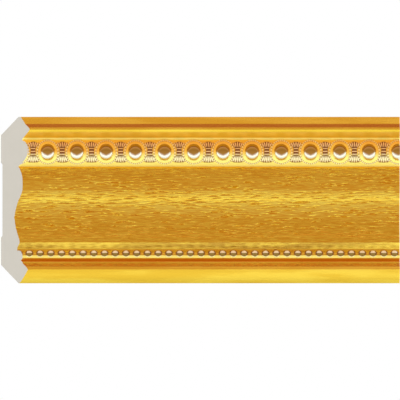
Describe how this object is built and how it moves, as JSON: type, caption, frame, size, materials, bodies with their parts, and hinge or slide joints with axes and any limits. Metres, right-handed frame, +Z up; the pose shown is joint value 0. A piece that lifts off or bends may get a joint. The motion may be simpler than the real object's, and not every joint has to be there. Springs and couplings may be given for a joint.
{
  "type": "cornice moulding length",
  "caption": "Length of gold-faced foam cornice for a wall-to-ceiling corner, with ringed beads between bound sheaves, a wood-grained ogee and a small bead row; one end bevelled.",
  "frame": {"origin": "middle of the wall contact face, halfway along the back", "axes": "+X along the length, away from the bevelled end; +Y towards the wall; +Z up towards the ceiling"},
  "size_m": [0.24, 0.0717, 0.0711],
  "materials": {
    "gold_foil": "metallic gold foil on foamed polystyrene, satin with an embossed wood grain, glossy on the beads; the foam is bare on the back and the cut ends"
  },
  "bodies": {
    "root": {"cornice_length": "gold_foil"}
  },
  "joints": []
}
